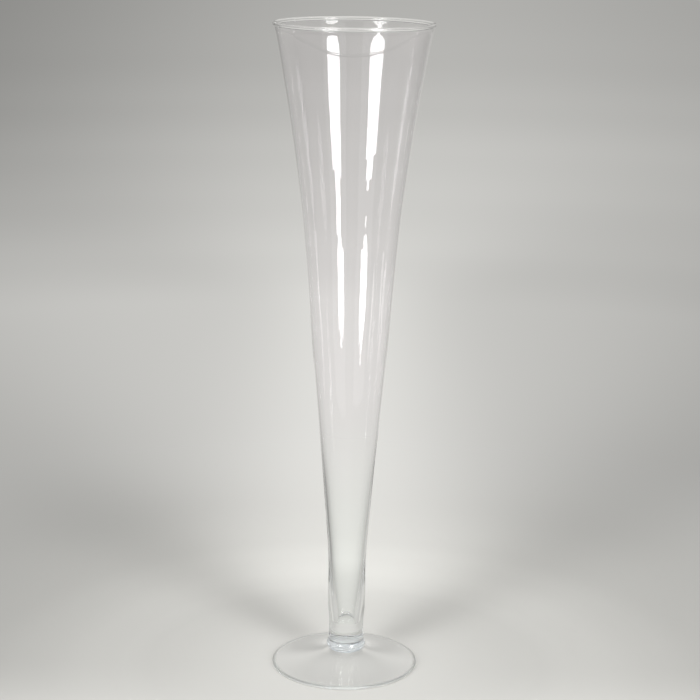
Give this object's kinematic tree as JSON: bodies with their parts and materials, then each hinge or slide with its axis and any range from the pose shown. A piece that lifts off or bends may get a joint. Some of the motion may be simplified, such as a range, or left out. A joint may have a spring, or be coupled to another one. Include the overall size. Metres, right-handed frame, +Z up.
{
  "type": "trumpet vase",
  "caption": "Tall footed trumpet vase of clear glass: a long bowl flaring to a round lip, on a thick narrow stem, a bead collar and a low disc foot.",
  "frame": {"origin": "centre of the foot's flat ring, on the surface that the vase stands on", "axes": "+Z up along the vase's axis; the vase is round, so X and Y may be turned freely"},
  "size_m": [0.146, 0.146, 0.61],
  "materials": {
    "clear_glass": "clear blown glass, fire polished, bare"
  },
  "bodies": {
    "root": {"trumpet_bowl": "clear_glass", "stem_peg": "clear_glass", "collar": "clear_glass", "foot": "clear_glass"}
  },
  "joints": []
}
